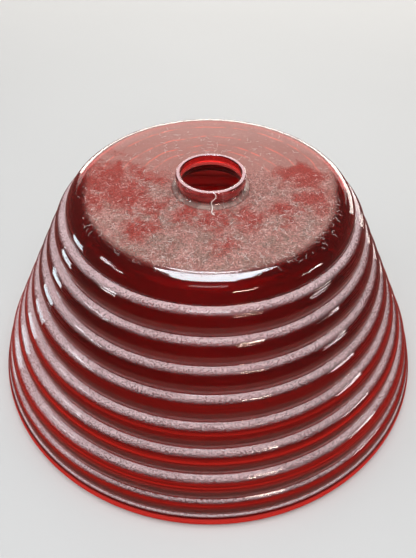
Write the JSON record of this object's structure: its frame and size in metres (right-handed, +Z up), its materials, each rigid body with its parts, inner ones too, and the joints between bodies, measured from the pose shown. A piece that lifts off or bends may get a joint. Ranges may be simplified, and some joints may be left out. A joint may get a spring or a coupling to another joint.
{
  "type": "glass bell shade",
  "caption": "Ribbed bell of moulded ruby glass, open at the mouth, with a flat crown and a lipped collar round its centre hole; the shade of a hanging lamp",
  "frame": {"origin": "centre of the rim's ground foot, on the bell's axis", "axes": "+Z up the bell's axis, from the open mouth towards the collar; X and Y lie in the plane of the foot"},
  "size_m": [0.3416, 0.3416, 0.168],
  "materials": {
    "ruby_glass": "clear deep red glass, fire-polished, with the collar's top and the foot ground flat"
  },
  "bodies": {
    "root": {"glass_bell": "ruby_glass"}
  },
  "joints": []
}
